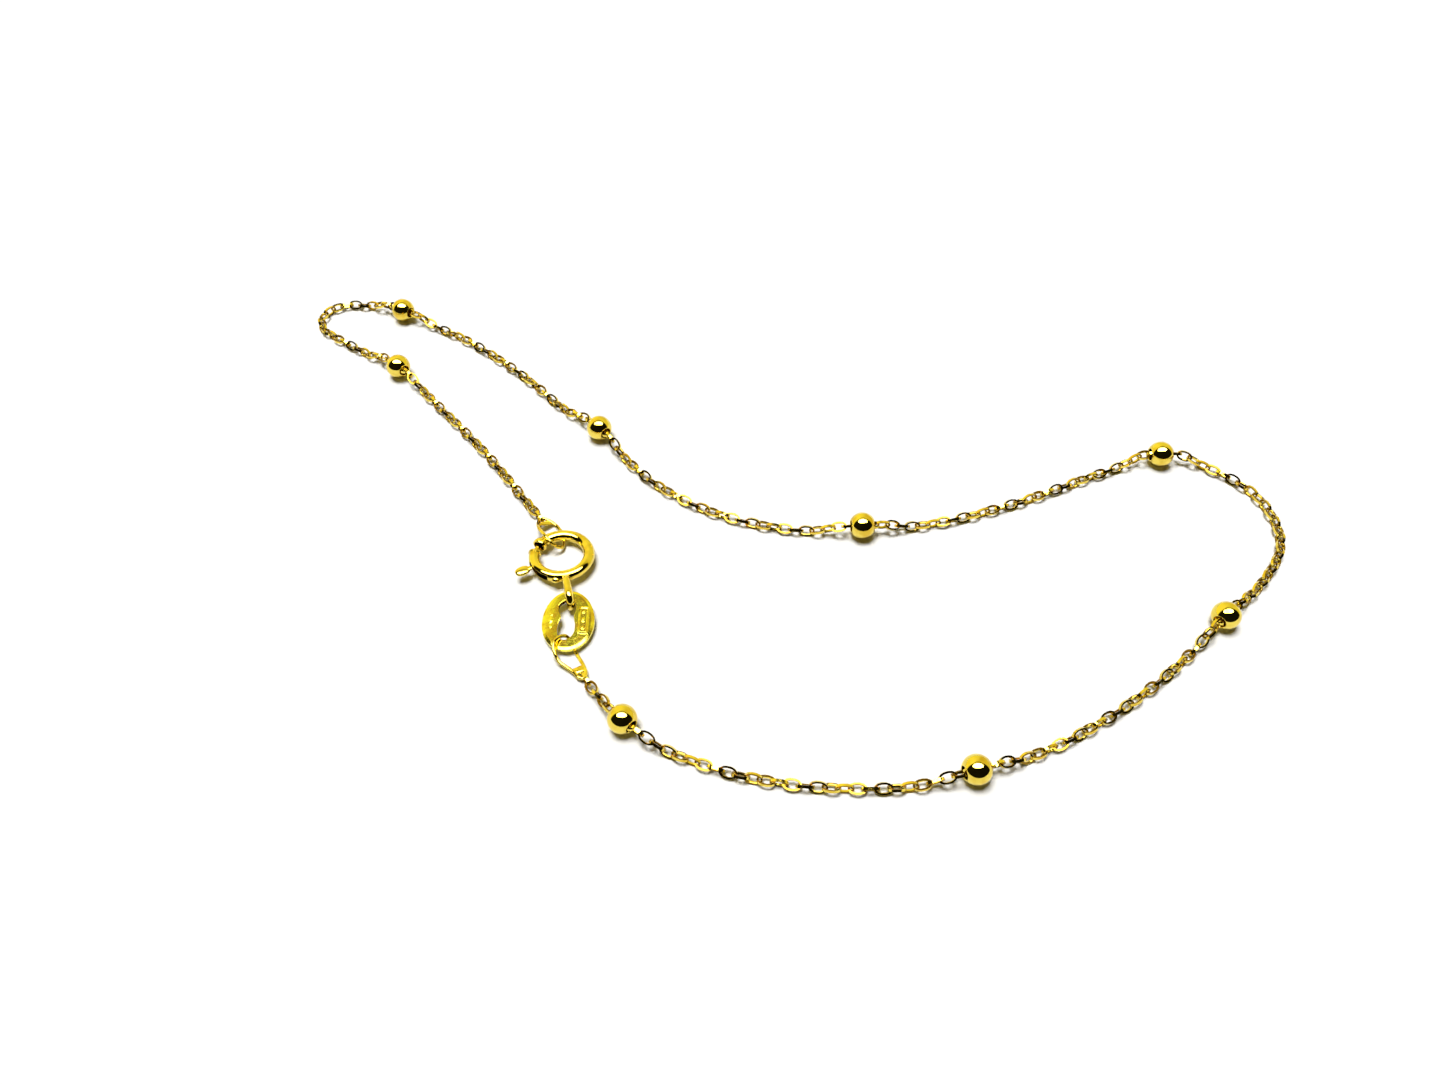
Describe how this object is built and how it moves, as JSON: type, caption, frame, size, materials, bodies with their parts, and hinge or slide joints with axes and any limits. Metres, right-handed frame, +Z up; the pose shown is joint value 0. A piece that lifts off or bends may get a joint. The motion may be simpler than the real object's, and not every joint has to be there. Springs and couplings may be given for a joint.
{
  "type": "beaded bracelet",
  "caption": "Fine gold cable-chain bracelet with round drilled beads threaded on it at even stations, closed by a bolt ring and an oval tag, lying as an open loop.",
  "frame": {"origin": "on the surface that the bracelet lies on, under the middle of its bounding box", "axes": "+Z up; +X along the longest stretch of the laid loop, to the right as pictured; +Y away from the viewer"},
  "size_m": [0.079, 0.0492, 0.002],
  "materials": {
    "bead_gold": "high polish yellow gold",
    "chain_gold": "diamond-cut bright yellow gold",
    "clasp_gold": "polished yellow gold",
    "bolt_gold": "polished yellow gold",
    "tag_gold": "stamped and polished yellow gold",
    "wire_gold": "drawn yellow gold wire"
  },
  "bodies": {
    "bracelet": {"bead_1": "bead_gold", "bead_2": "bead_gold", "bead_3": "bead_gold", "bead_4": "bead_gold", "bead_5": "bead_gold", "bead_6": "bead_gold", "bead_7": "bead_gold", "bead_8": "bead_gold", "chain_near": "chain_gold", "chain_far": "chain_gold", "clasp_ring": "clasp_gold", "tag": "tag_gold", "tag_jump_ring": "wire_gold", "clasp_jump_ring": "wire_gold"},
    "bolt": {"clasp_bolt": "bolt_gold"}
  },
  "joints": [
    {"name": "bolt_slide", "type": "hinge", "parent": "bracelet", "child": "bolt", "pos_m": [-0.01469, -0.00574, 0.00081], "axis": [0, 0.0436, 0.999], "range_deg": [0, 33], "stiffness_Nm_per_rad": 0.0002, "springref_deg": -22.92}
  ]
}
